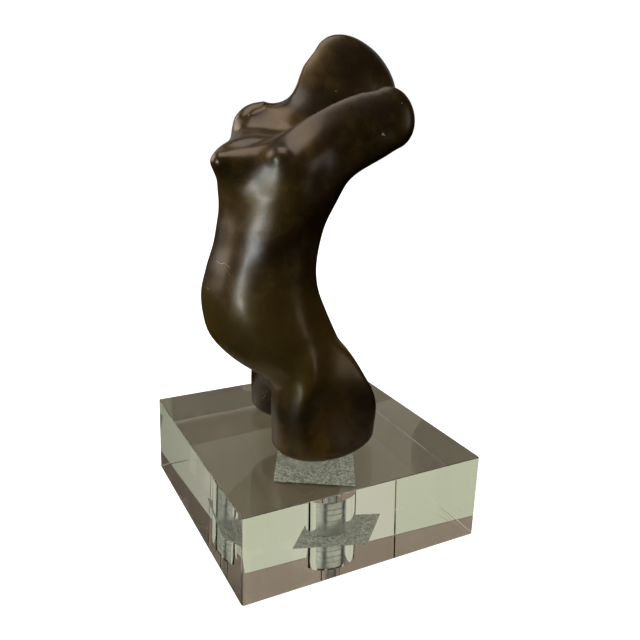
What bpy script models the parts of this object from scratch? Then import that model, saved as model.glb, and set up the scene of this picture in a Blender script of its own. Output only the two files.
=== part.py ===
"""Bronze torso with two raised arms on a clear acrylic block, in Blender 4.5.

Metres, +Z up. The origin is under the middle of the block, the figure faces -Y and its left side is +X.
The torso's form is a field: sections lofted along straight axes, joined and cut with soft fillets,
and turned into a mesh where the field is zero.
"""

import math

import bmesh
import bpy
import numpy as np
from mathutils import Matrix

MM = 0.001

# Driving sizes
TORSO_HEIGHT = 240 * MM
BLOCK_WIDTH = 150 * MM
BLOCK_HEIGHT = 51 * MM
PAD_WIDTH = 49 * MM
PAD_THICKNESS = 0.5 * MM
PAD_CENTRE = (8.5 * MM, 2.3 * MM)
PAD_TURN = -29.4
STUD_DIAMETER = 12.7 * MM
STUD_IN_TORSO = 24 * MM
BARREL_DIAMETER = 32 * MM
BARREL_HEIGHT = 22 * MM
BARREL_GROOVES = (10.0 * MM, 14.0 * MM, 17.4 * MM)
GROOVE_DEPTH = 0.5 * MM
GROOVE_WIDTH = 0.8 * MM
BARREL_CHAMFER = 0.6 * MM
UPRIGHT_EDGE_RADIUS = 1.6 * MM
FLAT_EDGE_RADIUS = 0.5 * MM
GAP = 0.3 * MM

BLOCK_BASE = PAD_THICKNESS + GAP
BLOCK_TOP = BLOCK_BASE + BLOCK_HEIGHT
TORSO_BASE = BLOCK_TOP + GAP
ROUND_STEPS = 48

# The torso's tables below are in units of a 240th of its height, upwards from its base
TABLE_HEIGHT = 240
GRID_LOW = (-64, -84, -6)
GRID_HIGH = (64, 94, 248)
GRID_STEP = 2.0
TORSO_TRIANGLES = 7400
CLOSEST_POINTS = 0.25

UP = (0, 0, 1)
FORWARD = (0, -1, 0)

# Sections of a loft: distance along it, offsets along its two cross axes, half sizes along them,
# and how much it thins towards the first one. TRUNK, thighs and web run up, with FORWARD as first.
TRUNK = [
    (38, 12, 0, 14, 26, 0),
    (46, 18, 0, 21.5, 33, 0),
    (54, 22.5, 0, 28, 37, 0),
    (66, 25.7, 0, 35.8, 38.5, 0),
    (80, 31.3, 0, 34.7, 37.5, 0),
    (92, 33.5, 0, 33.3, 35.5, 0),
    (105, 33, 0, 31, 33.5, 0),
    (120, 30, 0, 29.5, 31.5, 0),
    (135, 26.2, 0, 29.8, 31, 0),
    (150, 19.3, 0, 30.7, 32, 0),
    (162, 11, 0, 29, 32, 0),
]
THIGH = [
    (8, 3, 27.5, 32, 22, -0.12),
    (28, 3, 27.5, 32, 23.5, -0.1),
    (45, 6, 27, 26, 24, -0.05),
    (60, 10, 22, 20.5, 20, 0),
    (72, 16, 16, 14, 13, 0),
]
RIGHT_THIGH_BACK = 11
WEB = [(8, 1, 0, 17, 13, 0), (36, 4, 0, 18, 14, 0), (54, 12, 0, 15, 12, 0)]
SHOULDERS = [(-22, 0, 0, 15, 17, 0), (0, 0, 0, 15, 18, 0), (20, 0, 0, 15, 17, 0)]
LEFT_ARM = [
    (-10, 0, 0, 12, 9, 0.3),
    (8, 2.2, 0, 19.3, 12, 0.5),
    (30, 5.5, 0, 20.5, 11.5, 0.6),
    (50, 5.6, 0, 19.4, 9.5, 0.5),
    (61, 4.8, 0, 17.6, 8, 0.4),
]
RIGHT_ARM = [
    (-12, -13, 0, 10, 12, 0.2),
    (10, -17.5, 0, 14, 13, 0.4),
    (30, -23.7, 0, 22.6, 12, 0.5),
    (46, -29.3, 0, 31, 10.5, 0.45),
    (61.2, -33.6, 0, 33.6, 9.8, 0.4),
]
FLANK_RIDGE = [(-28, 8, 0, 7, 6, 0), (-14, 4, 0, 6.5, 6, 0), (0, 1.5, 0, 4.5, 4.5, 0)]
ARMPIT = [(-8, 0, 0, 16, 14.5, 0), (8, 0, 0, 15, 14, 0)]
VALLEY = [(-2, 0, 0, 9, 5, 0), (10, 0, 0, 12, 7, 0), (34, 0, 0, 14, 9, 0)]

# The face that ends the left hip: height, a point of it (x, y), the way it looks in degrees, its hollow
HIP_FACE = [
    (0, 47, -5, 8, -3),
    (22, 42.5, -5, 8, 0),
    (47, 40, 0, 15, 2.5),
    (66, 35, -4, 25, 2.5),
    (86, 30.5, -10.5, 33, 1.5),
    (104, 28.2, -14, 35, 0.5),
    (125, 28.5, -11, 35, 0),
]
HOLLOW_HALF_WIDTH = 16
HIP_FILLET = 1.4


def clear_scene():
    for obj in list(bpy.data.objects):
        bpy.data.objects.remove(obj, do_unlink=True)


def new_material(name, colour, roughness, metallic, transmission=0.0):
    material = bpy.data.materials.new(name)
    material.use_nodes = True
    material.diffuse_color = (*colour, 1.0)
    shader = material.node_tree.nodes["Principled BSDF"]
    shader.inputs["Base Color"].default_value = (*colour, 1.0)
    shader.inputs["Roughness"].default_value = roughness
    shader.inputs["Metallic"].default_value = metallic
    shader.inputs["Transmission Weight"].default_value = transmission
    return material


def new_object(name, mesh, material=None):
    obj = bpy.data.objects.new(name, mesh)
    bpy.context.scene.collection.objects.link(obj)
    if material:
        mesh.materials.append(material)
    return obj


def finish_mesh(name, shape):
    mesh = bpy.data.meshes.new(name)
    bmesh.ops.recalc_face_normals(shape, faces=shape.faces[:])
    shape.to_mesh(mesh)
    shape.free()
    return mesh


def turned(name, profile, material=None):
    """A solid turned about Z. The profile is a closed outline of (radius, height) points."""
    shape = bmesh.new()
    points = [shape.verts.new((radius, 0, height)) for radius, height in profile]
    edges = [shape.edges.new(pair) for pair in zip(points, points[1:])]
    if profile[0][0] > 0:
        edges.append(shape.edges.new((points[-1], points[0])))
    bmesh.ops.spin(shape, geom=points + edges, axis=UP, cent=(0, 0, 0), angle=2 * math.pi,
                   steps=ROUND_STEPS, use_merge=True, use_duplicate=False)
    bmesh.ops.remove_doubles(shape, verts=shape.verts[:], dist=0.001 * MM)
    mesh = finish_mesh(name, shape)
    mesh.shade_smooth()
    mesh.set_sharp_from_angle(angle=math.radians(35))
    return new_object(name, mesh, material)


def box(name, width, depth, low, high, material=None):
    shape = bmesh.new()
    bmesh.ops.create_cube(shape, size=1.0)
    bmesh.ops.transform(shape, verts=shape.verts[:], matrix=(
        Matrix.Translation((0, 0, (low + high) / 2)) @ Matrix.Diagonal((width, depth, high - low, 1))))
    return new_object(name, finish_mesh(name, shape), material)


def cut_from(obj, cutter):
    cutter.hide_render = True
    cutter.display_type = "WIRE"
    modifier = obj.modifiers.new("cut " + cutter.name, "BOOLEAN")
    modifier.operation = "DIFFERENCE"
    modifier.object = cutter


def add_pad(material):
    pad = box("base_pad", PAD_WIDTH, PAD_WIDTH, 0, PAD_THICKNESS, material)
    pad.location = (*PAD_CENTRE, 0)
    pad.rotation_euler.z = math.radians(PAD_TURN)


def add_block(material):
    """The clear block, its upright edges rounder than its flat ones, with a stepped hole up its middle."""
    block = box("acrylic_block", BLOCK_WIDTH, BLOCK_WIDTH, BLOCK_BASE, BLOCK_TOP, material)
    shape = bmesh.new()
    shape.from_mesh(block.data)
    for radius, upright, steps in ((UPRIGHT_EDGE_RADIUS, True, 3), (FLAT_EDGE_RADIUS, False, 2)):
        edges = [edge for edge in shape.edges
                 if (abs(edge.verts[0].co.z - edge.verts[1].co.z) > BLOCK_HEIGHT / 2) == upright
                 and abs(edge.calc_face_angle(0)) > math.radians(60)]
        bmesh.ops.bevel(shape, geom=edges, offset=radius, segments=steps, profile=0.5, affect="EDGES")
    shape.to_mesh(block.data)
    shape.free()
    hole = STUD_DIAMETER / 2 + GAP
    bore = BARREL_DIAMETER / 2 + GAP
    step = BLOCK_BASE + BARREL_HEIGHT + GAP
    below = BLOCK_BASE - PAD_THICKNESS
    above = BLOCK_TOP + PAD_THICKNESS
    cut_from(block, turned("block_hole", [(0, below), (bore, below), (bore, step), (hole, step),
                                          (hole, above), (0, above)]))


def add_fittings(material):
    """The stud through the block and the round fitting that holds it from below, with turned ring lines."""
    radius = STUD_DIAMETER / 2
    top = TORSO_BASE + STUD_IN_TORSO
    turned("fixing_stud", [(0, BLOCK_BASE), (radius, BLOCK_BASE), (radius, top), (0, top)], material)
    outer = BARREL_DIAMETER / 2
    inner = radius + GAP
    low = BLOCK_BASE
    high = low + BARREL_HEIGHT
    outline = [(inner, low), (outer - BARREL_CHAMFER, low), (outer, low + BARREL_CHAMFER)]
    for height in BARREL_GROOVES:
        middle = low + height
        outline += [(outer, middle - GROOVE_WIDTH / 2), (outer - GROOVE_DEPTH, middle),
                    (outer, middle + GROOVE_WIDTH / 2)]
    outline += [(outer, high - BARREL_CHAMFER), (outer - BARREL_CHAMFER, high), (inner, high)]
    turned("fixing_barrel", outline, material)


def unit(vector):
    vector = np.asarray(vector, float)
    return vector / np.linalg.norm(vector)


def curve(at, knots, values, level_ends=False):
    """A smooth curve through the values at the knots, held beyond the ends."""
    slopes = np.gradient(values, knots)
    if level_ends:
        slopes[[0, -1]] = 0
    place = np.clip(at, knots[0], knots[-1])
    i = np.clip(np.searchsorted(knots, place, side="right") - 1, 0, len(knots) - 2)
    span = knots[i + 1] - knots[i]
    t = (place - knots[i]) / span
    return ((1 + 2 * t) * (1 - t) ** 2 * values[i] + t * (1 - t) ** 2 * span * slopes[i]
            + t * t * (3 - 2 * t) * values[i + 1] + t * t * (t - 1) * span * slopes[i + 1])


def loft(points, start, along, across, sections, caps, power=2.0):
    """Roughly the distance of each point to a loft along a line, negative inside. Its ends are domes
    as long as the caps, and a power over 2 squares its sections off."""
    sections = np.array(sections, float)
    along = unit(along)
    across = unit(np.asarray(across, float) - np.dot(across, along) * along)
    from_start = points - np.asarray(start, float)
    distance = from_start @ along
    knots = sections[:, 0]
    place = np.clip(distance, knots[0], knots[-1])
    shift_1, shift_2, half_1, half_2, thinning = (
        curve(place, knots, sections[:, i], True) for i in range(1, 6))
    out_1 = from_start @ across - shift_1
    out_2 = from_start @ np.cross(along, across) - shift_2
    half_2 = half_2 * np.clip(1 - thinning * out_1 / half_1, 0.15, 3)
    cap = np.where(distance < knots[0], caps[0], caps[1])
    halves = np.stack([half_1, half_2, cap])
    parts = np.abs(np.stack([out_1, out_2, distance - place]) / halves) + 1e-6
    size = (parts ** power).sum(axis=0) ** (1 / power)
    slope = np.sqrt(((parts ** (power - 1) / halves) ** 2).sum(axis=0)) / size ** (power - 1)
    return np.clip((size - 1) / slope, -60, 200)


def round_cone(points, start, end, radius_1, radius_2):
    """The distance of each point to a cone with round ends, negative inside."""
    start = np.asarray(start, float)
    axis = np.asarray(end, float) - start
    length = np.linalg.norm(axis)
    narrowing = (radius_1 - radius_2) / length
    from_start = points - start
    along = from_start @ axis / length
    out = np.sqrt(np.maximum((from_start ** 2).sum(axis=1) - along ** 2, 0))
    foot = np.clip(along - out * narrowing / math.sqrt(1 - narrowing ** 2), 0, length)
    return np.hypot(along - foot, out) - radius_1 + narrowing * foot


def join(fillet, *fields):
    """The union of fields, with a soft fillet of about this size."""
    fields = np.stack(fields)
    least = fields.min(axis=0)
    return least - fillet * np.log(np.exp((least - fields) / fillet).sum(axis=0))


def cut(fillet, field, tool):
    return -join(fillet, -field, tool)


def outside_face(points, face):
    """How far each point lies beyond a hip's side face."""
    face = np.array(face, float)
    x, y, looks, hollow = (curve(points[:, 2], face[:, 0], face[:, i]) for i in range(1, 5))
    looks = np.radians(looks)
    out = (points[:, 0] - x) * np.cos(looks) + (points[:, 1] - y) * np.sin(looks)
    along = (points[:, 1] - y) * np.cos(looks) - (points[:, 0] - x) * np.sin(looks)
    return out + hollow * np.exp(-((along / HOLLOW_HALF_WIDTH) ** 2))


def hips_field(points):
    mirrored = points * (-1, 1, 1)
    moved_back = mirrored - (0, RIGHT_THIGH_BACK, 0)
    thighs = join(
        3,
        loft(points, (0, 0, 0), UP, FORWARD, THIGH, (11, 14), 2.1),
        loft(moved_back, (0, 0, 0), UP, FORWARD, THIGH, (11, 14), 2.1),
        loft(points, (0, 1, 0), UP, FORWARD, WEB, (11, 20)),
    )
    hips = join(4.5, thighs, loft(points, (0, 0, 0), UP, FORWARD, TRUNK, (12, 16), 2.1))
    hips = cut(HIP_FILLET, hips, -outside_face(points, HIP_FACE))
    return cut(HIP_FILLET, hips, -outside_face(moved_back, HIP_FACE))


def torso_field(points):
    """Roughly the distance of each point to the torso, negative inside, in the tables' units."""
    chest = join(
        6,
        hips_field(points),
        loft(points, (0, -14, 163), (-1, 0.35, 0.3), (0, -0.7, 0.7), SHOULDERS, (12, 12)),
        round_cone(points, (-2, -37, 161), (10.3, -61, 168), 20, 5.2),
        round_cone(points, (-18, -12, 175), (-20, -28.5, 183.5), 19, 11.5),
    )
    body = join(
        6,
        chest,
        loft(points, (16, -22, 162), (0.187, 0.893, 0.40), (0, -0.42, 0.9), LEFT_ARM, (10, 14.5)),
        loft(points, (-14, -21, 181), (-0.2, 0.56, 0.80), (0, -0.83, 0.56), RIGHT_ARM, (16, 25)),
    )
    body = join(
        4,
        body,
        loft(points, (27.5, -28, 150), (0.12, -0.05, 1), FORWARD, FLANK_RIDGE, (20, 14)),
        round_cone(points, (15, -24, 164), (27.5, -34.5, 171.5), 11, 3),
    )
    body = cut(6, body, loft(points, (49.5, -4, 165), (0, 0.3, 1), FORWARD, ARMPIT, (16, 14)))
    return cut(6, body, loft(points, (5, -18, 195.5), (0, 1, 0.06), UP, VALLEY, (14, 10)))


def surface_net(values, low, step):
    """Points and four-cornered faces where a grid of values is zero: one point in each cell that it crosses."""
    inside = values < 0
    shape = tuple(n - 1 for n in values.shape)
    total = np.zeros((3, *shape))
    count = np.zeros(shape)
    for axis in range(3):
        first = np.delete(values, -1, axis)
        second = np.delete(values, 0, axis)
        crossed = (first < 0) != (second < 0)
        part = np.where(crossed, first / np.where(crossed, first - second, 1), 0)
        side_1, side_2 = [other for other in range(3) if other != axis]
        for shift_1 in (0, 1):
            for shift_2 in (0, 1):
                window = [slice(None)] * 3
                window[side_1] = slice(shift_1, shift_1 + shape[side_1])
                window[side_2] = slice(shift_2, shift_2 + shape[side_2])
                here = crossed[tuple(window)]
                total[axis] += part[tuple(window)]
                total[side_1] += here * shift_1
                total[side_2] += here * shift_2
                count += here
    cells = np.argwhere(count > 0)
    number = np.full(shape, -1)
    number[tuple(cells.T)] = np.arange(len(cells))
    offset = total[:, count > 0] / count[count > 0]
    points = np.asarray(low, float) + step * (cells + offset.T)
    faces = []
    for axis in range(3):
        order = (axis, (axis + 1) % 3, (axis + 2) % 3)
        turned_inside = inside.transpose(order)
        turned_number = number.transpose(order)
        starts_in = turned_inside[:-1, 1:-1, 1:-1]
        ends_in = turned_inside[1:, 1:-1, 1:-1]
        i, j, k = np.nonzero(starts_in != ends_in)
        corners = np.stack([turned_number[i, j, k], turned_number[i, j + 1, k],
                            turned_number[i, j + 1, k + 1], turned_number[i, j, k + 1]], axis=1)
        backwards = ends_in[i, j, k]
        corners[backwards] = corners[backwards, ::-1]
        faces.append(corners)
    return points, np.concatenate(faces)


def settle(field, points, step, rounds=3):
    """Moves each point onto the zero of the field, along its slope."""
    reach = 0.05 * step
    for _ in range(rounds):
        slope = np.stack([(field(points + reach * axis) - field(points - reach * axis)) / (2 * reach)
                          for axis in np.eye(3)], axis=1)
        move = field(points)[:, None] * slope / (slope ** 2).sum(axis=1)[:, None]
        points = points - np.clip(move, -step / 2, step / 2)
    return points


def mesh_of(field, low, high, step, name):
    axes = [np.arange(a, b + step, step) for a, b in zip(low, high)]
    grid = np.stack(np.meshgrid(*axes, indexing="ij"), axis=-1)
    values = field(grid.reshape(-1, 3)).reshape(grid.shape[:3])
    points, faces = surface_net(values, low, step)
    mesh = bpy.data.meshes.new(name)
    mesh.from_pydata(settle(field, points, step).tolist(), [], faces.tolist())
    shape = bmesh.new()
    shape.from_mesh(mesh)
    bmesh.ops.remove_doubles(shape, verts=shape.verts[:], dist=CLOSEST_POINTS)
    shape.to_mesh(mesh)
    shape.free()
    return mesh


def add_torso(material):
    """The bronze, cut flat at its base, with a blind hole for the stud."""
    mesh = mesh_of(torso_field, GRID_LOW, GRID_HIGH, GRID_STEP, "bronze_torso")
    scale = TORSO_HEIGHT / TABLE_HEIGHT
    mesh.transform(Matrix.Translation((0, 0, TORSO_BASE)) @ Matrix.Scale(scale, 4))
    mesh.shade_smooth()
    torso = new_object("bronze_torso", mesh, material)
    thin = torso.modifiers.new("fewer triangles", "DECIMATE")
    thin.ratio = TORSO_TRIANGLES / (2 * len(mesh.polygons))
    cut_from(torso, box("base_cutter", BLOCK_WIDTH, BLOCK_WIDTH, BLOCK_BASE, TORSO_BASE))
    hole = STUD_DIAMETER / 2 + GAP
    end = TORSO_BASE + STUD_IN_TORSO + GAP
    cut_from(torso, turned("torso_hole", [(0, BLOCK_TOP), (hole, BLOCK_TOP), (hole, end), (0, end)]))


def main():
    clear_scene()
    bronze = new_material("bronze", (0.085, 0.055, 0.03), 0.34, 1.0)
    acrylic = new_material("acrylic", (0.96, 0.98, 0.95), 0.02, 0.0, 1.0)
    steel = new_material("steel", (0.62, 0.64, 0.66), 0.25, 1.0)
    pad = new_material("pad", (0.55, 0.56, 0.54), 0.7, 0.0)
    add_pad(pad)
    add_block(acrylic)
    add_fittings(steel)
    add_torso(bronze)


main()
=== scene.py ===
"""The looks of a bronze torso on its clear acrylic block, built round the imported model.

Sizes are in metres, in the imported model's frame. The torso's form repeats the sections and the field
of the part's own source, on a finer grid. Pixels are counted in the photograph's 640 by 640 frame.
"""

import math

import bmesh
import bpy
import numpy as np
from mathutils import Matrix, Quaternion, Vector, noise
from mathutils.bvhtree import BVHTree


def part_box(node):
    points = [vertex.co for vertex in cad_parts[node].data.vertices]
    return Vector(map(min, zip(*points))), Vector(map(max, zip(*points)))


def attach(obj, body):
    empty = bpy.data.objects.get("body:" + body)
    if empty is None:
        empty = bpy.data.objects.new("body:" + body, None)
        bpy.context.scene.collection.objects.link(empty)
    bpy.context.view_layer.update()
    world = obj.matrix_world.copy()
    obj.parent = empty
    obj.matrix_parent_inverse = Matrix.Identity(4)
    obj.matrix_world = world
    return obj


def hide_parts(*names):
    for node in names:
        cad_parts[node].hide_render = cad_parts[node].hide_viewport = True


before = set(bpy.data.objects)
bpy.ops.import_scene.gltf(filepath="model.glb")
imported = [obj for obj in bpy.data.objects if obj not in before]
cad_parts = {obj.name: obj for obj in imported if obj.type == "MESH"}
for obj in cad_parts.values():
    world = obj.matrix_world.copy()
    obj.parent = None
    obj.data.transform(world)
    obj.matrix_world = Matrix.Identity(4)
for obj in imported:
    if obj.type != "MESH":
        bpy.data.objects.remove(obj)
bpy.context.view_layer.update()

MM = 0.001

# The camera, solved from the block's corners in the photograph
IMAGE_SIDE = 640
FOCAL_PIXELS = 675.8
CENTRE_PIXEL = (272.1, 273.4)
CAMERA_AT = (344.4 * MM, -187.5 * MM, 251.9 * MM)
CAMERA_FORWARD = (-0.877, 0.412, -0.249)
CAMERA_RIGHT = (0.422, 0.907, 0.015)
SENSOR_WIDTH = 36
NEAREST_SEEN = 10 * MM

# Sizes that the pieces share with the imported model
TORSO_HEIGHT = 240 * MM
BLOCK_WIDTH = 150 * MM
PAD_WIDTH = 49 * MM
PAD_CENTRE = (8.5 * MM, 2.3 * MM)
PAD_TURN = -29.4
STUD_DIAMETER = 12.7 * MM
STUD_IN_TORSO = 24 * MM
BARREL_DIAMETER = 32 * MM
BARREL_GROOVES = (10.0 * MM, 14.0 * MM, 17.4 * MM)
GROOVE_DEPTH = 0.5 * MM
GROOVE_WIDTH = 0.8 * MM
BARREL_CHAMFER = 0.6 * MM
GAP = 0.3 * MM
PAD_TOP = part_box("base_pad")[1].z
BLOCK_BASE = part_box("acrylic_block")[0].z
BLOCK_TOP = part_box("acrylic_block")[1].z
BARREL_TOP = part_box("fixing_barrel")[1].z
TORSO_BASE = BLOCK_TOP + GAP

# Finer detail that only the scene has. Each kind of block edge: radius, whether upright, steps
BLOCK_EDGES = ((1.6 * MM, True, 6), (0.5 * MM, False, 4))
STUD_EDGE = 0.2 * MM
# The pad is lifted onto the block, so that it shows through the block's sides
PAD_LIFT = 0.4 * MM
PAD_CELLS = 64
PAD_SINK = 0.05 * MM
PAD_BUMP = 0.04 * MM
PAD_BUMP_LENGTH = 1.1 * MM
PAD_RIM_WIDTH = 0.1 * MM
PAD_RIM_SINK = 0.12 * MM
PAD_RIM_FRAY = 0.15 * MM
ROUND_STEPS = 128
SAME_POINT = 0.001 * MM
# Edges over these angles are shaded sharp, and the block's edges over the last one are rounded
TURNED_SHARP_ANGLE = math.radians(25)
BLOCK_SHARP_ANGLE = math.radians(35)
PAD_SHARP_ANGLE = math.radians(50)
BLOCK_CORNER_ANGLE = math.radians(60)

# The torso's tables below are in units of a 240th of its height, upwards from its base
TABLE_HEIGHT = 240
# The grid of its field: the corners, the step, how many steps the coarser grid takes at once,
# how near the surface the fine grid is exact, and the distance under which points are merged
GRID_LOW = (-64, -84, -6)
GRID_HIGH = (64, 94, 248)
GRID_STEP = 1.2
COARSER = 3
NEAR_SURFACE = 4.0
CLOSEST_POINTS = 0.25

MIDDLE = (0, 0, 0)
UP = (0, 0, 1)
FORWARD = (0, -1, 0)
# The power of sections that are squared off, the limits of a section's thinning, the limits of a
# loft's distances, and a size too small to matter that keeps divisions safe
SQUARED = 2.1
THINNING_LIMITS = (0.15, 3)
FIELD_LIMITS = (-60, 200)
TINY = 1e-6

# Each loft: its start, the way it runs, its first cross axis, its sections, the lengths of its two
# caps, and a power where its sections are squared off. Each section: distance along the loft,
# offsets along its two cross axes, half sizes along them, and how much it thins towards the first.
TRUNK = (MIDDLE, UP, FORWARD, [
    (38, 12, 0, 14, 26, 0),
    (46, 18, 0, 21.5, 33, 0),
    (54, 22.5, 0, 28, 37, 0),
    (66, 25.7, 0, 35.8, 38.5, 0),
    (80, 31.3, 0, 34.7, 37.5, 0),
    (92, 33.5, 0, 33.3, 35.5, 0),
    (105, 33, 0, 31, 33.5, 0),
    (120, 30, 0, 29.5, 31.5, 0),
    (135, 26.2, 0, 29.8, 31, 0),
    (150, 19.3, 0, 30.7, 32, 0),
    (162, 11, 0, 29, 32, 0),
], (12, 16), SQUARED)
THIGH = (MIDDLE, UP, FORWARD, [
    (8, 3, 27.5, 32, 22, -0.12),
    (28, 3, 27.5, 32, 23.5, -0.1),
    (45, 6, 27, 26, 24, -0.05),
    (60, 10, 22, 20.5, 20, 0),
    (72, 16, 16, 14, 13, 0),
], (11, 14), SQUARED)
RIGHT_THIGH_BACK = 11
WEB = ((0, 1, 0), UP, FORWARD, [
    (8, 1, 0, 17, 13, 0),
    (36, 4, 0, 18, 14, 0),
    (54, 12, 0, 15, 12, 0),
], (11, 20))
SHOULDERS = ((0, -14, 163), (-1, 0.35, 0.3), (0, -0.7, 0.7), [
    (-22, 0, 0, 15, 17, 0),
    (0, 0, 0, 15, 18, 0),
    (20, 0, 0, 15, 17, 0),
], (12, 12))
LEFT_ARM = ((16, -22, 162), (0.187, 0.893, 0.40), (0, -0.42, 0.9), [
    (-10, 0, 0, 12, 9, 0.3),
    (8, 2.2, 0, 19.3, 12, 0.5),
    (30, 5.5, 0, 20.5, 11.5, 0.6),
    (50, 5.6, 0, 19.4, 9.5, 0.5),
    (61, 4.8, 0, 17.6, 8, 0.4),
], (10, 14.5))
RIGHT_ARM = ((-14, -21, 181), (-0.2, 0.56, 0.80), (0, -0.83, 0.56), [
    (-12, -13, 0, 10, 12, 0.2),
    (10, -17.5, 0, 14, 13, 0.4),
    (30, -23.7, 0, 22.6, 12, 0.5),
    (46, -29.3, 0, 31, 10.5, 0.45),
    (61.2, -33.6, 0, 33.6, 9.8, 0.4),
], (16, 25))
FLANK_RIDGE = ((27.5, -28, 150), (0.12, -0.05, 1), FORWARD, [
    (-28, 8, 0, 7, 6, 0),
    (-14, 4, 0, 6.5, 6, 0),
    (0, 1.5, 0, 4.5, 4.5, 0),
], (20, 14))
ARMPIT = ((49.5, -4, 165), (0, 0.3, 1), FORWARD, [
    (-8, 0, 0, 16, 14.5, 0),
    (8, 0, 0, 15, 14, 0),
], (16, 14))
VALLEY = ((5, -18, 195.5), (0, 1, 0.06), UP, [
    (-2, 0, 0, 9, 5, 0),
    (10, 0, 0, 12, 7, 0),
    (34, 0, 0, 14, 9, 0),
], (14, 10))

# The three points of the chest, cones with round ends: start, end and the radius at each
MIDDLE_POINT = ((-2, -37, 161), (10.3, -61, 168), 20, 5.2)
RIGHT_POINT = ((-18, -12, 175), (-20, -28.5, 183.5), 19, 11.5)
LEFT_POINT = ((15, -24, 164), (27.5, -34.5, 171.5), 11, 3)

# The face that ends the left hip: height, a point of it (x, y), the way it looks in degrees,
# and the depth of its hollow
HIP_FACE = [
    (0, 47, -5, 8, -3),
    (22, 42.5, -5, 8, 0),
    (47, 40, 0, 15, 2.5),
    (66, 35, -4, 25, 2.5),
    (86, 30.5, -10.5, 33, 1.5),
    (104, 28.2, -14, 35, 0.5),
    (125, 28.5, -11, 35, 0),
]
HOLLOW_HALF_WIDTH = 16

# How softly the torso's forms run into each other, and the rounding of its flat base
THIGHS_FILLET = 3
TRUNK_FILLET = 4.5
HIP_FILLET = 1.4
CHEST_FILLET = 6
FLANK_FILLET = 4
HOLLOW_FILLET = 6
BASE_EDGE = 0.35

# The waviness of hand finishing, as lengths and heights, and how far up the base is free of it
WAVES = ((26, 0.22), (9, 0.05))
WAVE_FREE_HEIGHT = 3

# Colours of the bronze's patina, its scratches and its pits, and of the other materials
BRONZE_DARK = (0.036, 0.018, 0.005)
BRONZE_BROWN = (0.138, 0.073, 0.016)
# The ochre also paints the belly's band, which is partly a painted sheen
BRONZE_OCHRE = (0.19, 0.112, 0.018)
BRONZE_RUSSET = (0.125, 0.058, 0.017)
SCRATCH_COLOUR = (0.30, 0.22, 0.12)
PIT_COLOUR = (0.65, 0.60, 0.50)
METAL_PALE = (0.78, 0.79, 0.80)
METAL_DULL = (0.62, 0.63, 0.63)
METAL_RINGS = (0.42, 0.40, 0.38)
PAD_DARK = (0.36, 0.38, 0.33)
PAD_PALE = (0.97, 0.97, 0.93)
PAD_PATCHES = (0.50, 0.51, 0.45)
ACRYLIC_COLOUR = (0.98, 0.985, 0.96)
ACRYLIC_IOR = 1.49

# How often the noise of the bronze's brushing and of the metal's rings repeats in a metre, by axis
BRUSH_SCALE = (1400, 1400, 160)
RING_SCALE = (60, 60, 4200)
# The belly's band is ochre patina and a painted sheen, lighter where the window's broad highlight
# falls
# The heights between which the belly's ochre band fades, at its top and at its bottom
BELLY_OCHRE_SHEEN_TOP = (0.17, 0.13)
BELLY_OCHRE_SHEEN_BOTTOM = (0.08, 0.105)

# Scratches as a width in millimetres and the pixels that they run through
TORSO_SCRATCHES = [
    (0.45, ((216.5, 260.5), (221, 263.5), (225, 262.5), (229.5, 267.5))),
    (0.3, ((224, 266), (227, 271), (230, 275))),
    (0.3, ((206, 287), (209, 289))),
]
BLOCK_SCRATCHES = [
    (0.3, ((423.5, 481.5), (443, 497), (462, 512))),
    (0.2, ((411, 479), (430, 500), (458, 526))),
    (0.3, ((422, 503.5), (436, 513), (450, 522))),
    (0.2, ((395, 510), (407, 507))),
]
# Pits and a rough patch, each a radius in millimetres and the pixel at its middle
TORSO_PITS = [(1.0, (383, 134)), (0.5, (384.6, 135.2)), (0.4, (336, 91)), (0.45, (402, 103))]
ROUGH_PATCH = (5.5, (266, 396))
# The share of a mark's size within which it is at its full strength
SCRATCH_CORE = 0.3
PIT_CORE = 0.4
PATCH_CORE = 0.5

# The floor, which only the camera sees, and the table, which only shows through the clear block
FLOOR_COLOUR = (0.86, 0.855, 0.84)
FLOOR_GLOW = 1.0
FLOOR_RADIUS = 3.0
FLOOR_CURVE = 1.0
FLOOR_WALL = 4.0
FLOOR_CURVE_DEGREES = 10
TABLE_COLOUR = (0.40, 0.33, 0.26)
TABLE_SIZE = 3.0
TABLE_DEPTH = 0.5 * MM
# The room's two colours. The camera sees it beyond the floor, and it shows through the block.
WORLD_PALE = (0.60, 0.58, 0.48)
WORLD_GREEN = (0.52, 0.55, 0.40)
WORLD_STRENGTH = 1.0
# Each light: name, azimuth, elevation, distance, size, turn about its own axis, power, colour.
# Azimuth 0 is in front of the figure, and the lights face the torso's middle.
LIGHTS_AIM = (0, 0, 0.15)
LIGHTS = [
    ("window", 20, 2.5, 1.3, (0.17, 0.56), 35, 5.2, (0.68, 0.85, 1.0)),
    ("left_fill", -45, 22, 1.4, (1.2, 0.9), 0, 9.5, (1.0, 0.94, 0.86)),
    ("top_softbox", 60, 82, 1.4, (1.3, 1.3), 0, 13.0, (1.0, 0.96, 0.90)),
    ("back_rim", 140, 10, 1.4, (0.4, 0.6), 0, 0.7, (0.93, 0.96, 1.0)),
    ("back_wall", 245, 26, 2.2, (4.6, 2.0), 0, 8.0, (1.0, 0.97, 0.92)),
]


def unit(vector):
    vector = np.asarray(vector, float)
    return vector / np.linalg.norm(vector)


def curve(at, knots, values, level_ends=False):
    """A smooth curve through the values at the knots, held beyond the ends."""
    slopes = np.gradient(values, knots)
    if level_ends:
        slopes[[0, -1]] = 0
    place = np.clip(at, knots[0], knots[-1])
    i = np.clip(np.searchsorted(knots, place, side="right") - 1, 0, len(knots) - 2)
    span = knots[i + 1] - knots[i]
    t = (place - knots[i]) / span
    return ((1 + 2 * t) * (1 - t) ** 2 * values[i] + t * (1 - t) ** 2 * span * slopes[i]
            + t * t * (3 - 2 * t) * values[i + 1] + t * t * (t - 1) * span * slopes[i + 1])


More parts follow.
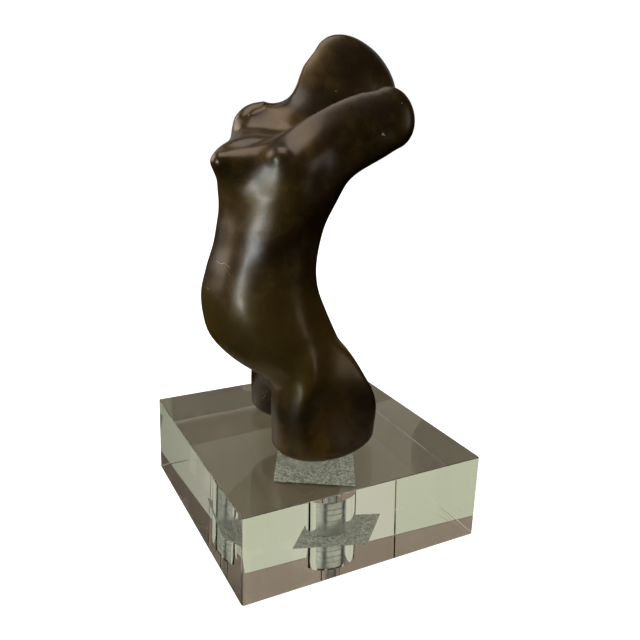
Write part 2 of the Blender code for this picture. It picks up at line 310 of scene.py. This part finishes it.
def loft(points, start, along, across, sections, caps, power=2.0):
    """Roughly the distance of each point to a loft along a line, negative inside. Its ends are domes
    as long as the caps, and a power over 2 squares its sections off."""
    sections = np.array(sections, float)
    along = unit(along)
    across = unit(np.asarray(across, float) - np.dot(across, along) * along)
    from_start = points - np.asarray(start, float)
    distance = from_start @ along
    knots = sections[:, 0]
    place = np.clip(distance, knots[0], knots[-1])
    shift_1, shift_2, half_1, half_2, thinning = (
        curve(place, knots, sections[:, i], True) for i in range(1, 6))
    out_1 = from_start @ across - shift_1
    out_2 = from_start @ np.cross(along, across) - shift_2
    half_2 = half_2 * np.clip(1 - thinning * out_1 / half_1, *THINNING_LIMITS)
    cap = np.where(distance < knots[0], caps[0], caps[1])
    halves = np.stack([half_1, half_2, cap])
    parts = np.abs(np.stack([out_1, out_2, distance - place]) / halves) + TINY
    size = (parts ** power).sum(axis=0) ** (1 / power)
    slope = np.sqrt(((parts ** (power - 1) / halves) ** 2).sum(axis=0)) / size ** (power - 1)
    return np.clip((size - 1) / slope, *FIELD_LIMITS)


def round_cone(points, start, end, radius_1, radius_2):
    """The distance of each point to a cone with round ends, negative inside."""
    start = np.asarray(start, float)
    axis = np.asarray(end, float) - start
    length = np.linalg.norm(axis)
    narrowing = (radius_1 - radius_2) / length
    from_start = points - start
    along = from_start @ axis / length
    out = np.sqrt(np.maximum((from_start ** 2).sum(axis=1) - along ** 2, 0))
    foot = np.clip(along - out * narrowing / math.sqrt(1 - narrowing ** 2), 0, length)
    return np.hypot(along - foot, out) - radius_1 + narrowing * foot


def join(fillet, *fields):
    """The union of fields, with a soft fillet of about this size."""
    fields = np.stack(fields)
    least = fields.min(axis=0)
    return least - fillet * np.log(np.exp((least - fields) / fillet).sum(axis=0))


def cut(fillet, field, tool):
    """The field less another, with a soft fillet of about this size."""
    return -join(fillet, -field, tool)


def outside_face(points, face):
    """How far each point lies beyond a hip's side face."""
    face = np.array(face, float)
    x, y, looks, hollow = (curve(points[:, 2], face[:, 0], face[:, i]) for i in range(1, 5))
    looks = np.radians(looks)
    out = (points[:, 0] - x) * np.cos(looks) + (points[:, 1] - y) * np.sin(looks)
    along = (points[:, 1] - y) * np.cos(looks) - (points[:, 0] - x) * np.sin(looks)
    return out + hollow * np.exp(-((along / HOLLOW_HALF_WIDTH) ** 2))


def hips_field(points):
    """The thighs and the trunk. The right thigh mirrors the left one, and stands further back."""
    moved_back = points * (-1, 1, 1) - (0, RIGHT_THIGH_BACK, 0)
    thighs = join(THIGHS_FILLET, loft(points, *THIGH), loft(moved_back, *THIGH), loft(points, *WEB))
    hips = join(TRUNK_FILLET, thighs, loft(points, *TRUNK))
    hips = cut(HIP_FILLET, hips, -outside_face(points, HIP_FACE))
    return cut(HIP_FILLET, hips, -outside_face(moved_back, HIP_FACE))


def torso_field(points):
    """Roughly the distance of each point to the torso, negative inside, in the tables' units."""
    chest = join(
        CHEST_FILLET,
        hips_field(points),
        loft(points, *SHOULDERS),
        round_cone(points, *MIDDLE_POINT),
        round_cone(points, *RIGHT_POINT),
    )
    body = join(CHEST_FILLET, chest, loft(points, *LEFT_ARM), loft(points, *RIGHT_ARM))
    body = join(FLANK_FILLET, body, loft(points, *FLANK_RIDGE), round_cone(points, *LEFT_POINT))
    body = cut(HOLLOW_FILLET, body, loft(points, *ARMPIT))
    return cut(HOLLOW_FILLET, body, loft(points, *VALLEY))


def surface_net(values, low, step):
    """Points and four-cornered faces where a grid of values is zero. There is one point in each
    cell that the surface crosses."""
    inside = values < 0
    shape = tuple(n - 1 for n in values.shape)
    total = np.zeros((3, *shape))
    count = np.zeros(shape)
    for axis in range(3):
        first = np.delete(values, -1, axis)
        second = np.delete(values, 0, axis)
        crossed = (first < 0) != (second < 0)
        part = np.where(crossed, first / np.where(crossed, first - second, 1), 0)
        side_1, side_2 = [other for other in range(3) if other != axis]
        for shift_1 in (0, 1):
            for shift_2 in (0, 1):
                window = [slice(None)] * 3
                window[side_1] = slice(shift_1, shift_1 + shape[side_1])
                window[side_2] = slice(shift_2, shift_2 + shape[side_2])
                here = crossed[tuple(window)]
                total[axis] += part[tuple(window)]
                total[side_1] += here * shift_1
                total[side_2] += here * shift_2
                count += here
    cells = np.argwhere(count > 0)
    number = np.full(shape, -1)
    number[tuple(cells.T)] = np.arange(len(cells))
    offset = total[:, count > 0] / count[count > 0]
    points = np.asarray(low, float) + step * (cells + offset.T)
    faces = []
    for axis in range(3):
        order = (axis, (axis + 1) % 3, (axis + 2) % 3)
        turned_inside = inside.transpose(order)
        turned_number = number.transpose(order)
        starts_in = turned_inside[:-1, 1:-1, 1:-1]
        ends_in = turned_inside[1:, 1:-1, 1:-1]
        i, j, k = np.nonzero(starts_in != ends_in)
        corners = np.stack([turned_number[i, j, k], turned_number[i, j + 1, k],
                            turned_number[i, j + 1, k + 1], turned_number[i, j, k + 1]], axis=1)
        backwards = ends_in[i, j, k]
        corners[backwards] = corners[backwards, ::-1]
        faces.append(corners)
    return points, np.concatenate(faces)


def settle(field, points, step, rounds=3):
    """Moves each point onto the zero of the field, along its slope."""
    reach = 0.05 * step
    for _ in range(rounds):
        slope = np.stack([(field(points + reach * axis) - field(points - reach * axis)) / (2 * reach)
                          for axis in np.eye(3)], axis=1)
        move = field(points)[:, None] * slope / (slope ** 2).sum(axis=1)[:, None]
        points = points - np.clip(move, -step / 2, step / 2)
    return points


def finer(values, axis):
    """The values of a grid, filled in between its points along one axis."""
    count = (values.shape[axis] - 1) * COARSER + 1
    place = np.arange(count) / COARSER
    i = np.minimum(place.astype(int), values.shape[axis] - 2)
    share = (place - i).reshape([-1 if a == axis else 1 for a in range(3)])
    return np.take(values, i, axis) * (1 - share) + np.take(values, i + 1, axis) * share


def field_grid(field):
    """The field on the fine grid, exact near the surface and filled in elsewhere."""
    wide = GRID_STEP * COARSER
    axes = [np.arange(a, b + wide, wide) for a, b in zip(GRID_LOW, GRID_HIGH)]
    grid = np.stack(np.meshgrid(*axes, indexing="ij"), axis=-1)
    values = field(grid.reshape(-1, 3)).reshape(grid.shape[:3])
    for axis in range(3):
        values = finer(values, axis)
    near = np.abs(values) < NEAR_SURFACE
    values[near] = field(np.asarray(GRID_LOW) + GRID_STEP * np.argwhere(near))
    return values


def cast_field(points):
    """The torso with its flat base and the blind hole for the stud, in the tables' units."""
    unit_size = TORSO_HEIGHT / TABLE_HEIGHT
    hole = (STUD_DIAMETER / 2 + GAP) / unit_size
    end = (STUD_IN_TORSO + GAP) / unit_size
    body = cut(BASE_EDGE, torso_field(points), points[:, 2])
    drilled = np.maximum(np.hypot(points[:, 0], points[:, 1]) - hole, points[:, 2] - end)
    return np.maximum(body, -drilled)


def make_torso():
    """The bronze as one fine mesh, with the slight waviness that hand finishing leaves."""
    points, faces = surface_net(field_grid(cast_field), GRID_LOW, GRID_STEP)
    points = settle(cast_field, points, GRID_STEP)
    mesh = bpy.data.meshes.new("torso_cast")
    mesh.from_pydata(points.tolist(), [], faces.tolist())
    shape = bmesh.new()
    shape.from_mesh(mesh)
    bmesh.ops.remove_doubles(shape, verts=shape.verts[:], dist=CLOSEST_POINTS)
    shape.normal_update()
    for vertex in shape.verts:
        if vertex.co.z > WAVE_FREE_HEIGHT:
            waves = sum(noise.noise(vertex.co / length) * height for length, height in WAVES)
            vertex.co += vertex.normal * waves
    shape.to_mesh(mesh)
    shape.free()
    mesh.transform(Matrix.Translation((0, 0, TORSO_BASE))
                   @ Matrix.Scale(TORSO_HEIGHT / TABLE_HEIGHT, 4))
    mesh.shade_smooth()
    return add_object("torso_cast", mesh)


def add_object(name, mesh):
    obj = bpy.data.objects.new(name, mesh)
    bpy.context.scene.collection.objects.link(obj)
    return obj


def mesh_of(shape, name):
    mesh = bpy.data.meshes.new(name)
    shape.to_mesh(mesh)
    shape.free()
    return mesh


def spin(shape, outline, closed):
    """Turns an outline of (radius, height) points about Z."""
    points = [shape.verts.new((radius, 0, height)) for radius, height in outline]
    edges = [shape.edges.new(pair) for pair in zip(points, points[1:])]
    if closed:
        edges.append(shape.edges.new((points[-1], points[0])))
    bmesh.ops.spin(shape, geom=points + edges, axis=UP, cent=MIDDLE, angle=2 * math.pi,
                   steps=ROUND_STEPS, use_merge=True, use_duplicate=False)


def turned(name, outline):
    """A solid turned about Z. Its outline either starts and ends on the axis or is closed."""
    shape = bmesh.new()
    spin(shape, outline, closed=outline[0][0] > 0)
    bmesh.ops.remove_doubles(shape, verts=shape.verts[:], dist=SAME_POINT)
    bmesh.ops.recalc_face_normals(shape, faces=shape.faces[:])
    mesh = mesh_of(shape, name)
    mesh.shade_smooth()
    mesh.set_sharp_from_angle(angle=TURNED_SHARP_ANGLE)
    return add_object(name, mesh)


def is_upright(edge):
    return abs(edge.verts[0].co.z - edge.verts[1].co.z) > (BLOCK_TOP - BLOCK_BASE) / 2


def make_block():
    """The clear block with rounded edges and the stepped hole up its middle."""
    shape = bmesh.new()
    bmesh.ops.create_cube(shape, size=1.0)
    bmesh.ops.transform(shape, verts=shape.verts[:], matrix=(
        Matrix.Translation((0, 0, (BLOCK_TOP + BLOCK_BASE) / 2))
        @ Matrix.Diagonal((BLOCK_WIDTH, BLOCK_WIDTH, BLOCK_TOP - BLOCK_BASE, 1))))
    for radius, upright, steps in BLOCK_EDGES:
        edges = [edge for edge in shape.edges
                 if is_upright(edge) == upright and abs(edge.calc_face_angle(0)) > BLOCK_CORNER_ANGLE]
        bmesh.ops.bevel(shape, geom=edges, offset=radius, segments=steps, profile=0.5, affect="EDGES")
    block = add_object("clear_block", mesh_of(shape, "clear_block"))
    hole = STUD_DIAMETER / 2 + GAP
    bore = BARREL_DIAMETER / 2 + GAP
    step = BARREL_TOP + GAP
    below = BLOCK_BASE - MM
    above = BLOCK_TOP + MM
    drill = turned("drill", [(0, below), (bore, below), (bore, step),
                             (hole, step), (hole, above), (0, above)])
    cutting = block.modifiers.new("hole", "BOOLEAN")
    cutting.operation = "DIFFERENCE"
    cutting.object = drill
    graph = bpy.context.evaluated_depsgraph_get()
    finished = bpy.data.meshes.new_from_object(block.evaluated_get(graph))
    block.modifiers.remove(cutting)
    block.data = finished
    bpy.data.objects.remove(drill, do_unlink=True)
    finished.shade_smooth()
    finished.set_sharp_from_angle(angle=BLOCK_SHARP_ANGLE)
    weighted = block.modifiers.new("flat faces stay flat", "WEIGHTED_NORMAL")
    weighted.keep_sharp = True
    weighted.weight = 100
    return block


def make_fittings():
    """The stud, and the turned barrel with its ring lines."""
    radius = STUD_DIAMETER / 2
    flat = radius - STUD_EDGE
    top = TORSO_BASE + STUD_IN_TORSO
    stud = turned("stud", [(0, BLOCK_BASE), (flat, BLOCK_BASE), (radius, BLOCK_BASE + STUD_EDGE),
                           (radius, top - STUD_EDGE), (flat, top), (0, top)])
    outer = BARREL_DIAMETER / 2
    inner = radius + GAP
    narrower = outer - BARREL_CHAMFER
    outline = [(inner, BLOCK_BASE), (narrower, BLOCK_BASE), (outer, BLOCK_BASE + BARREL_CHAMFER)]
    for height in BARREL_GROOVES:
        for share in (-1, -0.5, 0, 0.5, 1):
            depth = GROOVE_DEPTH * math.cos(share * math.pi / 2)
            outline.append((outer - depth, BLOCK_BASE + height + share * GROOVE_WIDTH / 2))
    outline += [(outer, BARREL_TOP - BARREL_CHAMFER), (narrower, BARREL_TOP), (inner, BARREL_TOP)]
    return stud, turned("barrel", outline)


def make_pad():
    """The square pad, its upper face slightly uneven and its rim a little frayed."""
    half = PAD_WIDTH / 2
    shape = bmesh.new()
    bmesh.ops.create_grid(shape, x_segments=PAD_CELLS, y_segments=PAD_CELLS, size=half)
    for vertex in shape.verts:
        on_rim = max(abs(vertex.co.x), abs(vertex.co.y)) > half - PAD_RIM_WIDTH
        bump = noise.noise(vertex.co / PAD_BUMP_LENGTH)
        vertex.co.z = PAD_TOP - PAD_SINK - PAD_BUMP * bump
        if on_rim:
            vertex.co.x -= PAD_RIM_FRAY * abs(bump) * np.sign(vertex.co.x)
            vertex.co.y -= PAD_RIM_FRAY * abs(bump) * np.sign(vertex.co.y)
            vertex.co.z = PAD_TOP - PAD_RIM_SINK
    rim = [edge for edge in shape.edges if edge.is_boundary]
    for item in bmesh.ops.extrude_edge_only(shape, edges=rim)["geom"]:
        if isinstance(item, bmesh.types.BMVert):
            item.co.z = 0
    bottom = [edge for edge in shape.edges if edge.is_boundary]
    bmesh.ops.contextual_create(shape, geom=bottom)
    bmesh.ops.recalc_face_normals(shape, faces=shape.faces[:])
    mesh = mesh_of(shape, "pad")
    mesh.shade_smooth()
    mesh.set_sharp_from_angle(angle=PAD_SHARP_ANGLE)
    mesh.transform(Matrix.Translation((*PAD_CENTRE, PAD_LIFT))
                   @ Matrix.Rotation(math.radians(PAD_TURN), 4, "Z"))
    return add_object("pad", mesh)


def new_material(name):
    material = bpy.data.materials.new(name)
    material.use_nodes = True
    return material, material.node_tree, material.node_tree.nodes["Principled BSDF"]


def add_node(tree, kind, inputs=(), **settings):
    """A shader node with its settings. Each input is a name or an index, and its value or another
    node's output."""
    node = tree.nodes.new(kind)
    for key, value in settings.items():
        setattr(node, key, value)
    for key, value in dict(inputs).items():
        if isinstance(value, bpy.types.NodeSocket):
            tree.links.new(value, node.inputs[key])
        else:
            node.inputs[key].default_value = value
    return node


def noise_value(tree, place, scale, detail=3.0, roughness=0.5, distortion=0.0):
    node = add_node(tree, "ShaderNodeTexNoise", {"Vector": place, "Scale": scale, "Detail": detail,
                                                 "Roughness": roughness, "Distortion": distortion})
    return node.outputs["Fac"]


def math_node(tree, operation, *values, clamp=False):
    node = add_node(tree, "ShaderNodeMath", enumerate(values), operation=operation, use_clamp=clamp)
    return node.outputs[0]


def ranged(tree, value, low, high, to_low=0.0, to_high=1.0):
    node = add_node(tree, "ShaderNodeMapRange", {"Value": value, "From Min": low, "From Max": high,
                                                 "To Min": to_low, "To Max": to_high},
                    interpolation_type="SMOOTHSTEP")
    return node.outputs["Result"]


def mixed(tree, share, first, second):
    """A colour between two, each (red, green, blue) or another node's output."""
    first, second = (colour if isinstance(colour, bpy.types.NodeSocket) else (*colour, 1)
                     for colour in (first, second))
    node = add_node(tree, "ShaderNodeMix", {0: share, 6: first, 7: second}, data_type="RGBA")
    return node.outputs[2]


def stretched(tree, place, scale):
    node = add_node(tree, "ShaderNodeMapping", {"Vector": place, "Scale": scale})
    return node.outputs["Vector"]


def bump_node(tree, height, distance, strength=1.0, below=None):
    node = add_node(tree, "ShaderNodeBump",
                    {"Height": height, "Distance": distance, "Strength": strength})
    if below:
        tree.links.new(below, node.inputs["Normal"])
    return node.outputs["Normal"]


def vector_node(tree, operation, inputs):
    return add_node(tree, "ShaderNodeVectorMath", inputs, operation=operation)


def line_distance(tree, place, start, end):
    """How far a point is from a straight line between two points."""
    start = Vector(start)
    run = Vector(end) - start
    from_start = vector_node(tree, "SUBTRACT", {0: place, 1: start}).outputs[0]
    share = vector_node(tree, "DOT_PRODUCT", {0: from_start, 1: run / run.length_squared})
    along = math_node(tree, "ADD", share.outputs["Value"], 0.0, clamp=True)
    nearest = vector_node(tree, "SCALE", {0: run, "Scale": along}).outputs[0]
    return vector_node(tree, "DISTANCE", {0: from_start, 1: nearest}).outputs["Value"]


def any_of(tree, masks):
    """The highest of several masks at each place."""
    highest = masks[0]
    for mask in masks[1:]:
        highest = math_node(tree, "MAXIMUM", highest, mask)
    return highest


def scratch_mask(tree, place, scratches):
    """1 on the scratches, each a width and a row of points, and 0 elsewhere."""
    return any_of(tree, [
        ranged(tree, line_distance(tree, place, start, end), width, SCRATCH_CORE * width)
        for width, points in scratches for start, end in zip(points, points[1:])])


def spot_mask(tree, place, radius, middle, core):
    """1 near a spot's middle, and 0 beyond its radius."""
    away = vector_node(tree, "DISTANCE", {0: place, 1: middle}).outputs["Value"]
    return ranged(tree, away, radius, core * radius)


def bronze_material(scratches, pits, patch):
    """Dark brown in clouds, with ochre, a belly band of ochre patina and painted sheen, russet on the
    worn edges, and the photograph's marks.
    """
    material, tree, shader = new_material("patinated_bronze")
    place = add_node(tree, "ShaderNodeTexCoord").outputs["Object"]
    height = add_node(tree, "ShaderNodeSeparateXYZ", {0: place}).outputs["Z"]
    clouds = noise_value(tree, place, scale=17, detail=4, distortion=0.3)
    mottle = noise_value(tree, place, scale=110, detail=5, roughness=0.6, distortion=0.6)
    grain = noise_value(tree, place, scale=900, roughness=0.6)
    edges = add_node(tree, "ShaderNodeNewGeometry").outputs["Pointiness"]
    colour = mixed(tree, ranged(tree, clouds, 0.38, 0.66), BRONZE_DARK, BRONZE_BROWN)
    ochre = math_node(tree, "MULTIPLY", ranged(tree, mottle, 0.45, 0.68),
                      ranged(tree, clouds, 0.38, 0.6))
    colour = mixed(tree, math_node(tree, "MULTIPLY", ochre, 0.55), colour, BRONZE_OCHRE)
    # The belly's band by height: ochre patina, and a painted sheen where the window's broad highlight
    # falls
    belly_ochre_and_sheen = math_node(tree, "MULTIPLY", ranged(tree, height, *BELLY_OCHRE_SHEEN_TOP),
                      ranged(tree, height, *BELLY_OCHRE_SHEEN_BOTTOM))
    colour = mixed(tree, math_node(tree, "MULTIPLY", belly_ochre_and_sheen, 0.55), colour, BRONZE_OCHRE)
    colour = mixed(tree, ranged(tree, grain, 0.35, 0.75, to_high=0.18), colour, BRONZE_RUSSET)
    colour = mixed(tree, ranged(tree, edges, 0.52, 0.60, to_high=0.6), colour, BRONZE_RUSSET)
    marks = scratch_mask(tree, place, scratches)
    dots = any_of(tree, [spot_mask(tree, place, radius, middle, PIT_CORE) for radius, middle in pits])
    fine = noise_value(tree, place, scale=700, roughness=0.7)
    flecks = math_node(tree, "MULTIPLY", spot_mask(tree, place, *patch, PATCH_CORE),
                       ranged(tree, fine, 0.54, 0.64))
    colour = mixed(tree, math_node(tree, "MULTIPLY", marks, 0.7), colour, SCRATCH_COLOUR)
    colour = mixed(tree, dots, colour, PIT_COLOUR)
    colour = mixed(tree, math_node(tree, "MULTIPLY", flecks, 0.6), colour, SCRATCH_COLOUR)
    tree.links.new(colour, shader.inputs["Base Color"])
    rough = math_node(tree, "ADD", ranged(tree, mottle, 0.3, 0.7, to_low=0.27, to_high=0.37),
                      ranged(tree, grain, 0.3, 0.7, to_high=0.05))
    tree.links.new(rough, shader.inputs["Roughness"])
    brushed = noise_value(tree, stretched(tree, place, BRUSH_SCALE), scale=1.0, detail=2)
    speck = noise_value(tree, place, scale=1700, detail=2)
    hollows = any_of(tree, [marks, dots, flecks])
    normal = bump_node(tree, mottle, 0.25 * MM, strength=0.12)
    normal = bump_node(tree, brushed, 0.02 * MM, strength=0.5, below=normal)
    normal = bump_node(tree, speck, 0.03 * MM, strength=0.35, below=normal)
    proud = math_node(tree, "SUBTRACT", 1.0, hollows)
    normal = bump_node(tree, proud, 0.12 * MM, strength=0.8, below=normal)
    tree.links.new(normal, shader.inputs["Normal"])
    shader.inputs["Metallic"].default_value = 0.35
    shader.inputs["Specular IOR Level"].default_value = 0.5
    shader.inputs["Coat Weight"].default_value = 0.28
    shader.inputs["Coat Roughness"].default_value = 0.22
    return material


def acrylic_material(scratches):
    material, tree, shader = new_material("clear_acrylic")
    place = add_node(tree, "ShaderNodeTexCoord").outputs["Object"]
    shader.inputs["Base Color"].default_value = (*ACRYLIC_COLOUR, 1)
    shader.inputs["Transmission Weight"].default_value = 1.0
    shader.inputs["IOR"].default_value = ACRYLIC_IOR
    shader.inputs["Roughness"].default_value = 0.0
    marks = scratch_mask(tree, place, scratches)
    normal = bump_node(tree, math_node(tree, "SUBTRACT", 1.0, marks), 0.05 * MM, strength=0.5)
    tree.links.new(normal, shader.inputs["Normal"])
    return material


def metal_material():
    material, tree, shader = new_material("turned_metal")
    place = add_node(tree, "ShaderNodeTexCoord").outputs["Object"]
    rings = noise_value(tree, stretched(tree, place, RING_SCALE), scale=1.0, roughness=0.6)
    smear = noise_value(tree, place, scale=90, detail=4, roughness=0.6, distortion=0.8)
    colour = mixed(tree, ranged(tree, smear, 0.4, 0.65), METAL_PALE, METAL_DULL)
    colour = mixed(tree, ranged(tree, rings, 0.55, 0.75, to_high=0.25), colour, METAL_RINGS)
    rough = ranged(tree, smear, 0.3, 0.7, to_low=0.30, to_high=0.44)
    tree.links.new(colour, shader.inputs["Base Color"])
    tree.links.new(rough, shader.inputs["Roughness"])
    tree.links.new(bump_node(tree, rings, 0.02 * MM, strength=0.4), shader.inputs["Normal"])
    shader.inputs["Metallic"].default_value = 1.0
    return material


def pad_material():
    material, tree, shader = new_material("speckled_pad")
    place = add_node(tree, "ShaderNodeTexCoord").outputs["Object"]
    specks = noise_value(tree, place, scale=650, detail=5, roughness=0.75)
    patches = noise_value(tree, place, scale=260, roughness=0.6)
    colour = mixed(tree, ranged(tree, specks, 0.43, 0.56), PAD_DARK, PAD_PALE)
    colour = mixed(tree, ranged(tree, patches, 0.4, 0.7, to_high=0.35), colour, PAD_PATCHES)
    tree.links.new(colour, shader.inputs["Base Color"])
    tree.links.new(bump_node(tree, specks, 0.15 * MM, strength=0.7), shader.inputs["Normal"])
    shader.inputs["Roughness"].default_value = 0.6
    return material


def plain_material(name, colour, roughness=0.9):
    material, _, shader = new_material(name)
    shader.inputs["Base Color"].default_value = (*colour, 1)
    shader.inputs["Roughness"].default_value = roughness
    return material


def camera_axes():
    """The camera's right, up and forward, at right angles to each other."""
    forward = Vector(CAMERA_FORWARD).normalized()
    right = Vector(CAMERA_RIGHT)
    right = (right - right.dot(forward) * forward).normalized()
    return right, right.cross(forward), forward


def add_camera():
    """The photograph's own camera: its lens, its shift and its place."""
    right, up, forward = camera_axes()
    camera = bpy.data.objects.new("camera", bpy.data.cameras.new("camera"))
    bpy.context.scene.collection.objects.link(camera)
    turn = Matrix((right, up, -forward)).transposed().to_4x4()
    camera.matrix_world = Matrix.Translation(CAMERA_AT) @ turn
    camera.data.sensor_width = SENSOR_WIDTH
    camera.data.lens = FOCAL_PIXELS * SENSOR_WIDTH / IMAGE_SIDE
    camera.data.shift_x = (IMAGE_SIDE / 2 - CENTRE_PIXEL[0]) / IMAGE_SIDE
    camera.data.shift_y = (CENTRE_PIXEL[1] - IMAGE_SIDE / 2) / IMAGE_SIDE
    camera.data.clip_start = NEAREST_SEEN
    bpy.context.scene.camera = camera


def pixel_ray(pixel):
    """The way that the camera looks through a pixel."""
    right, up, forward = camera_axes()
    ray = (forward + right * ((pixel[0] - CENTRE_PIXEL[0]) / FOCAL_PIXELS)
           - up * ((pixel[1] - CENTRE_PIXEL[1]) / FOCAL_PIXELS))
    return ray.normalized()


def on_surface(tree, pixels):
    """Where the camera's rays through these pixels meet a mesh."""
    hits = [tree.ray_cast(Vector(CAMERA_AT), pixel_ray(pixel))[0] for pixel in pixels]
    return [hit for hit in hits if hit]


def tree_of(obj):
    shape = bmesh.new()
    shape.from_mesh(obj.data)
    tree = BVHTree.FromBMesh(shape)
    shape.free()
    return tree


def add_light(name, azimuth, elevation, distance, size, turn, power, colour):
    """A soft rectangular light, seen neither by the camera nor through the clear block."""
    a, e = math.radians(azimuth), math.radians(elevation)
    away = Vector((math.sin(a) * math.cos(e), -math.cos(a) * math.cos(e), math.sin(e)))
    light = bpy.data.objects.new(name, bpy.data.lights.new(name, "AREA"))
    light.data.shape = "RECTANGLE"
    light.data.size, light.data.size_y = size
    light.data.energy = power
    light.data.color = colour
    light.location = Vector(LIGHTS_AIM) + away * distance
    light.rotation_mode = "QUATERNION"
    light.rotation_quaternion = away.to_track_quat("Z", "Y") @ Quaternion(UP, math.radians(turn))
    light.visible_camera = False
    light.visible_transmission = False
    bpy.context.scene.collection.objects.link(light)


def only_seen_by(obj, *rays):
    """Keeps an object of the stage out of every kind of ray but these."""
    for ray in ("camera", "diffuse", "glossy", "transmission", "volume_scatter", "shadow"):
        setattr(obj, "visible_" + ray, ray in rays)


def add_floor():
    """The pale floor that the camera sees. It curves up far behind."""
    outline = [(0, 0), (FLOOR_RADIUS, 0)]
    for degrees in range(FLOOR_CURVE_DEGREES, 90 + FLOOR_CURVE_DEGREES, FLOOR_CURVE_DEGREES):
        turn = math.radians(degrees)
        outline.append((FLOOR_RADIUS + FLOOR_CURVE * math.sin(turn),
                        FLOOR_CURVE * (1 - math.cos(turn))))
    outline.append((FLOOR_RADIUS + FLOOR_CURVE, FLOOR_WALL))
    shape = bmesh.new()
    spin(shape, outline, closed=False)
    mesh = mesh_of(shape, "floor")
    mesh.shade_smooth()
    floor = add_object("floor", mesh)
    material = plain_material("pale_floor", FLOOR_COLOUR)
    shader = material.node_tree.nodes["Principled BSDF"]
    shader.inputs["Emission Color"].default_value = (1, 1, 1, 1)
    shader.inputs["Emission Strength"].default_value = FLOOR_GLOW
    mesh.materials.append(material)
    only_seen_by(floor, "camera")


def add_table():
    """The darker table that shows through the clear block, as in the photograph."""
    shape = bmesh.new()
    bmesh.ops.create_grid(shape, x_segments=1, y_segments=1, size=TABLE_SIZE / 2)
    mesh = mesh_of(shape, "table")
    mesh.transform(Matrix.Translation((0, 0, -TABLE_DEPTH)))
    table = add_object("table", mesh)
    mesh.materials.append(plain_material("table", TABLE_COLOUR))
    only_seen_by(table, "transmission", "shadow")


def add_stage():
    """A plain pale floor, the table, a plain room that lights nothing itself, and soft lights."""
    add_floor()
    add_table()
    world = bpy.data.worlds.new("studio")
    bpy.context.scene.world = world
    world.use_nodes = True
    tree = world.node_tree
    background = tree.nodes["Background"]
    way = add_node(tree, "ShaderNodeTexCoord").outputs["Generated"]
    tint = ranged(tree, noise_value(tree, way, scale=2.6, detail=2), 0.40, 0.62)
    tree.links.new(mixed(tree, tint, WORLD_PALE, WORLD_GREEN), background.inputs["Color"])
    background.inputs["Strength"].default_value = WORLD_STRENGTH
    world.cycles_visibility.diffuse = False
    world.cycles_visibility.glossy = False
    for light in LIGHTS:
        add_light(*light)


def dress(piece, node, material):
    """Puts a piece in place of a node, with the given material."""
    piece.data.materials.clear()
    piece.data.materials.append(material)
    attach(piece, "root")
    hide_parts(node)


def marks_on(tree, marks):
    """Marks with their sizes in metres, and their pixels as places on a mesh."""
    return [(size * MM, on_surface(tree, pixels)) for size, pixels in marks]


def spots_on(tree, spots):
    """The same for marks of one pixel each."""
    return [(size * MM, on_surface(tree, [pixel])[0]) for size, pixel in spots]


def main():
    add_camera()
    torso = make_torso()
    block = make_block()
    stud, barrel = make_fittings()
    pad = make_pad()
    torso_tree = tree_of(torso)
    scratches = marks_on(torso_tree, TORSO_SCRATCHES)
    *pits, rough_patch = spots_on(torso_tree, [*TORSO_PITS, ROUGH_PATCH])
    metal = metal_material()
    dress(torso, "bronze_torso", bronze_material(scratches, pits, rough_patch))
    block_scratches = marks_on(tree_of(block), BLOCK_SCRATCHES)
    dress(block, "acrylic_block", acrylic_material(block_scratches))
    dress(stud, "fixing_stud", metal)
    dress(barrel, "fixing_barrel", metal)
    dress(pad, "base_pad", pad_material())
    add_stage()
    bpy.context.scene.view_settings.view_transform = "Standard"


main()
